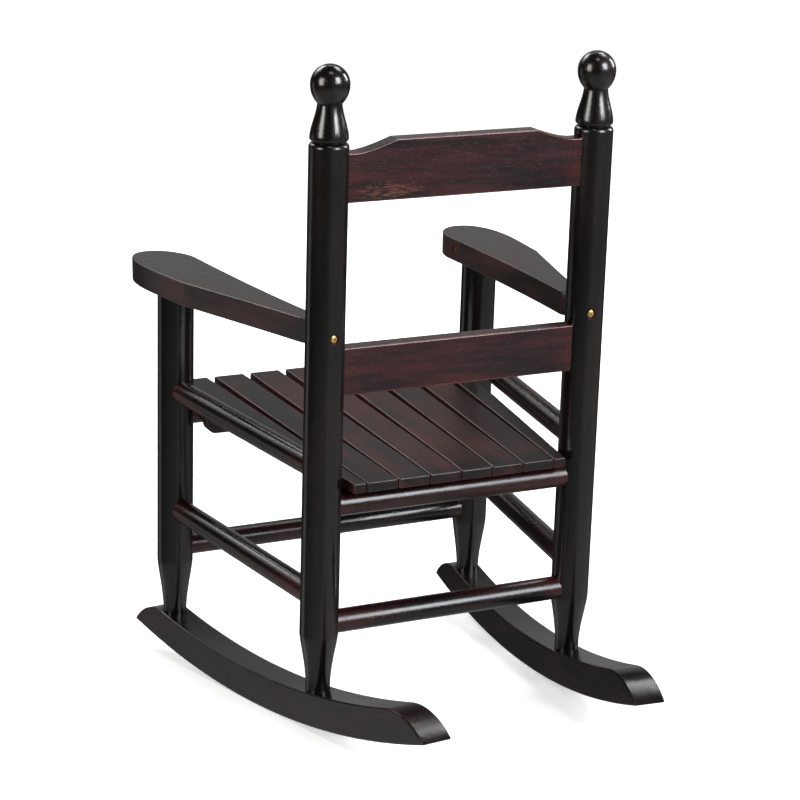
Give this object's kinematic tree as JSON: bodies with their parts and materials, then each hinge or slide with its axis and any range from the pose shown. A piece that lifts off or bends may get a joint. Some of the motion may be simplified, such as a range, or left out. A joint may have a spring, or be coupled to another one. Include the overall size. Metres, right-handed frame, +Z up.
{
  "type": "childs rocking chair",
  "caption": "Small wooden rocking chair for a child: turned posts with ball finials, flat back rails, fanned slat seat, paddle armrests, dowel stretchers and curved rockers",
  "frame": {"origin": "On the floor, under the middle of the chair's bounding box; the rockers touch the floor 22 mm in front of it (towards -Y)", "axes": "+Z up, the sitter faces -Y, +X is the sitter's left"},
  "size_m": [0.374, 0.5084, 0.5714],
  "materials": {
    "post_lacquer": "near-black espresso lacquer over turned hardwood, semi-gloss",
    "back_rail_lacquer": "dark mahogany-brown stained lacquer, semi-gloss, rubbed through to red-brown in places",
    "dowel_lacquer": "dark reddish-brown lacquer, semi-gloss",
    "seat_slat_lacquer": "dark grey-brown lacquer, soft satin sheen",
    "armrest_lacquer": "dark grey-brown lacquer, satin",
    "rocker_lacquer": "dark brown lacquer, satin sides and glossier rounded ends",
    "batten_lacquer": "dark stained wood, low sheen",
    "brass_screws": "yellow plated screw heads with a cross recess",
    "plated_screws": "zinc-plated steel screws, hidden under the seat and rockers"
  },
  "bodies": {
    "root": {"arm_front_screw_left": "brass_screws", "arm_front_screw_right": "brass_screws", "arm_rear_screw_left": "brass_screws", "arm_rear_screw_right": "brass_screws", "armrest_left": "armrest_lacquer", "armrest_right": "armrest_lacquer", "batten_screw_front_left": "plated_screws", "batten_screw_front_right": "plated_screws", "batten_screw_rear_left": "plated_screws", "batten_screw_rear_right": "plated_screws", "crest_rail": "back_rail_lacquer", "front_post_left": "post_lacquer", "front_post_right": "post_lacquer", "front_seat_rail": "dowel_lacquer", "front_stretcher": "dowel_lacquer", "lower_back_rail": "back_rail_lacquer", "rear_post_left": "post_lacquer", "rear_post_right": "post_lacquer", "rear_seat_rail": "dowel_lacquer", "rear_stretcher": "dowel_lacquer", "rocker_left": "rocker_lacquer", "rocker_right": "rocker_lacquer", "rocker_screw_front_left": "plated_screws", "rocker_screw_front_right": "plated_screws", "rocker_screw_rear_left": "plated_screws", "rocker_screw_rear_right": "plated_screws", "seat_batten_front": "batten_lacquer", "seat_batten_rear": "batten_lacquer", "seat_slat_1": "seat_slat_lacquer", "seat_slat_2": "seat_slat_lacquer", "seat_slat_3": "seat_slat_lacquer", "seat_slat_4": "seat_slat_lacquer", "seat_slat_5": "seat_slat_lacquer", "seat_slat_6": "seat_slat_lacquer", "seat_slat_7": "seat_slat_lacquer", "seat_slat_8": "seat_slat_lacquer", "side_seat_rail_left": "dowel_lacquer", "side_seat_rail_right": "dowel_lacquer", "side_stretcher_left": "dowel_lacquer", "side_stretcher_right": "dowel_lacquer", "slat_screw_front_1": "plated_screws", "slat_screw_front_2": "plated_screws", "slat_screw_front_3": "plated_screws", "slat_screw_front_4": "plated_screws", "slat_screw_front_5": "plated_screws", "slat_screw_front_6": "plated_screws", "slat_screw_front_7": "plated_screws", "slat_screw_front_8": "plated_screws", "slat_screw_rear_1": "plated_screws", "slat_screw_rear_2": "plated_screws", "slat_screw_rear_3": "plated_screws", "slat_screw_rear_4": "plated_screws", "slat_screw_rear_5": "plated_screws", "slat_screw_rear_6": "plated_screws", "slat_screw_rear_7": "plated_screws", "slat_screw_rear_8": "plated_screws"}
  },
  "joints": []
}
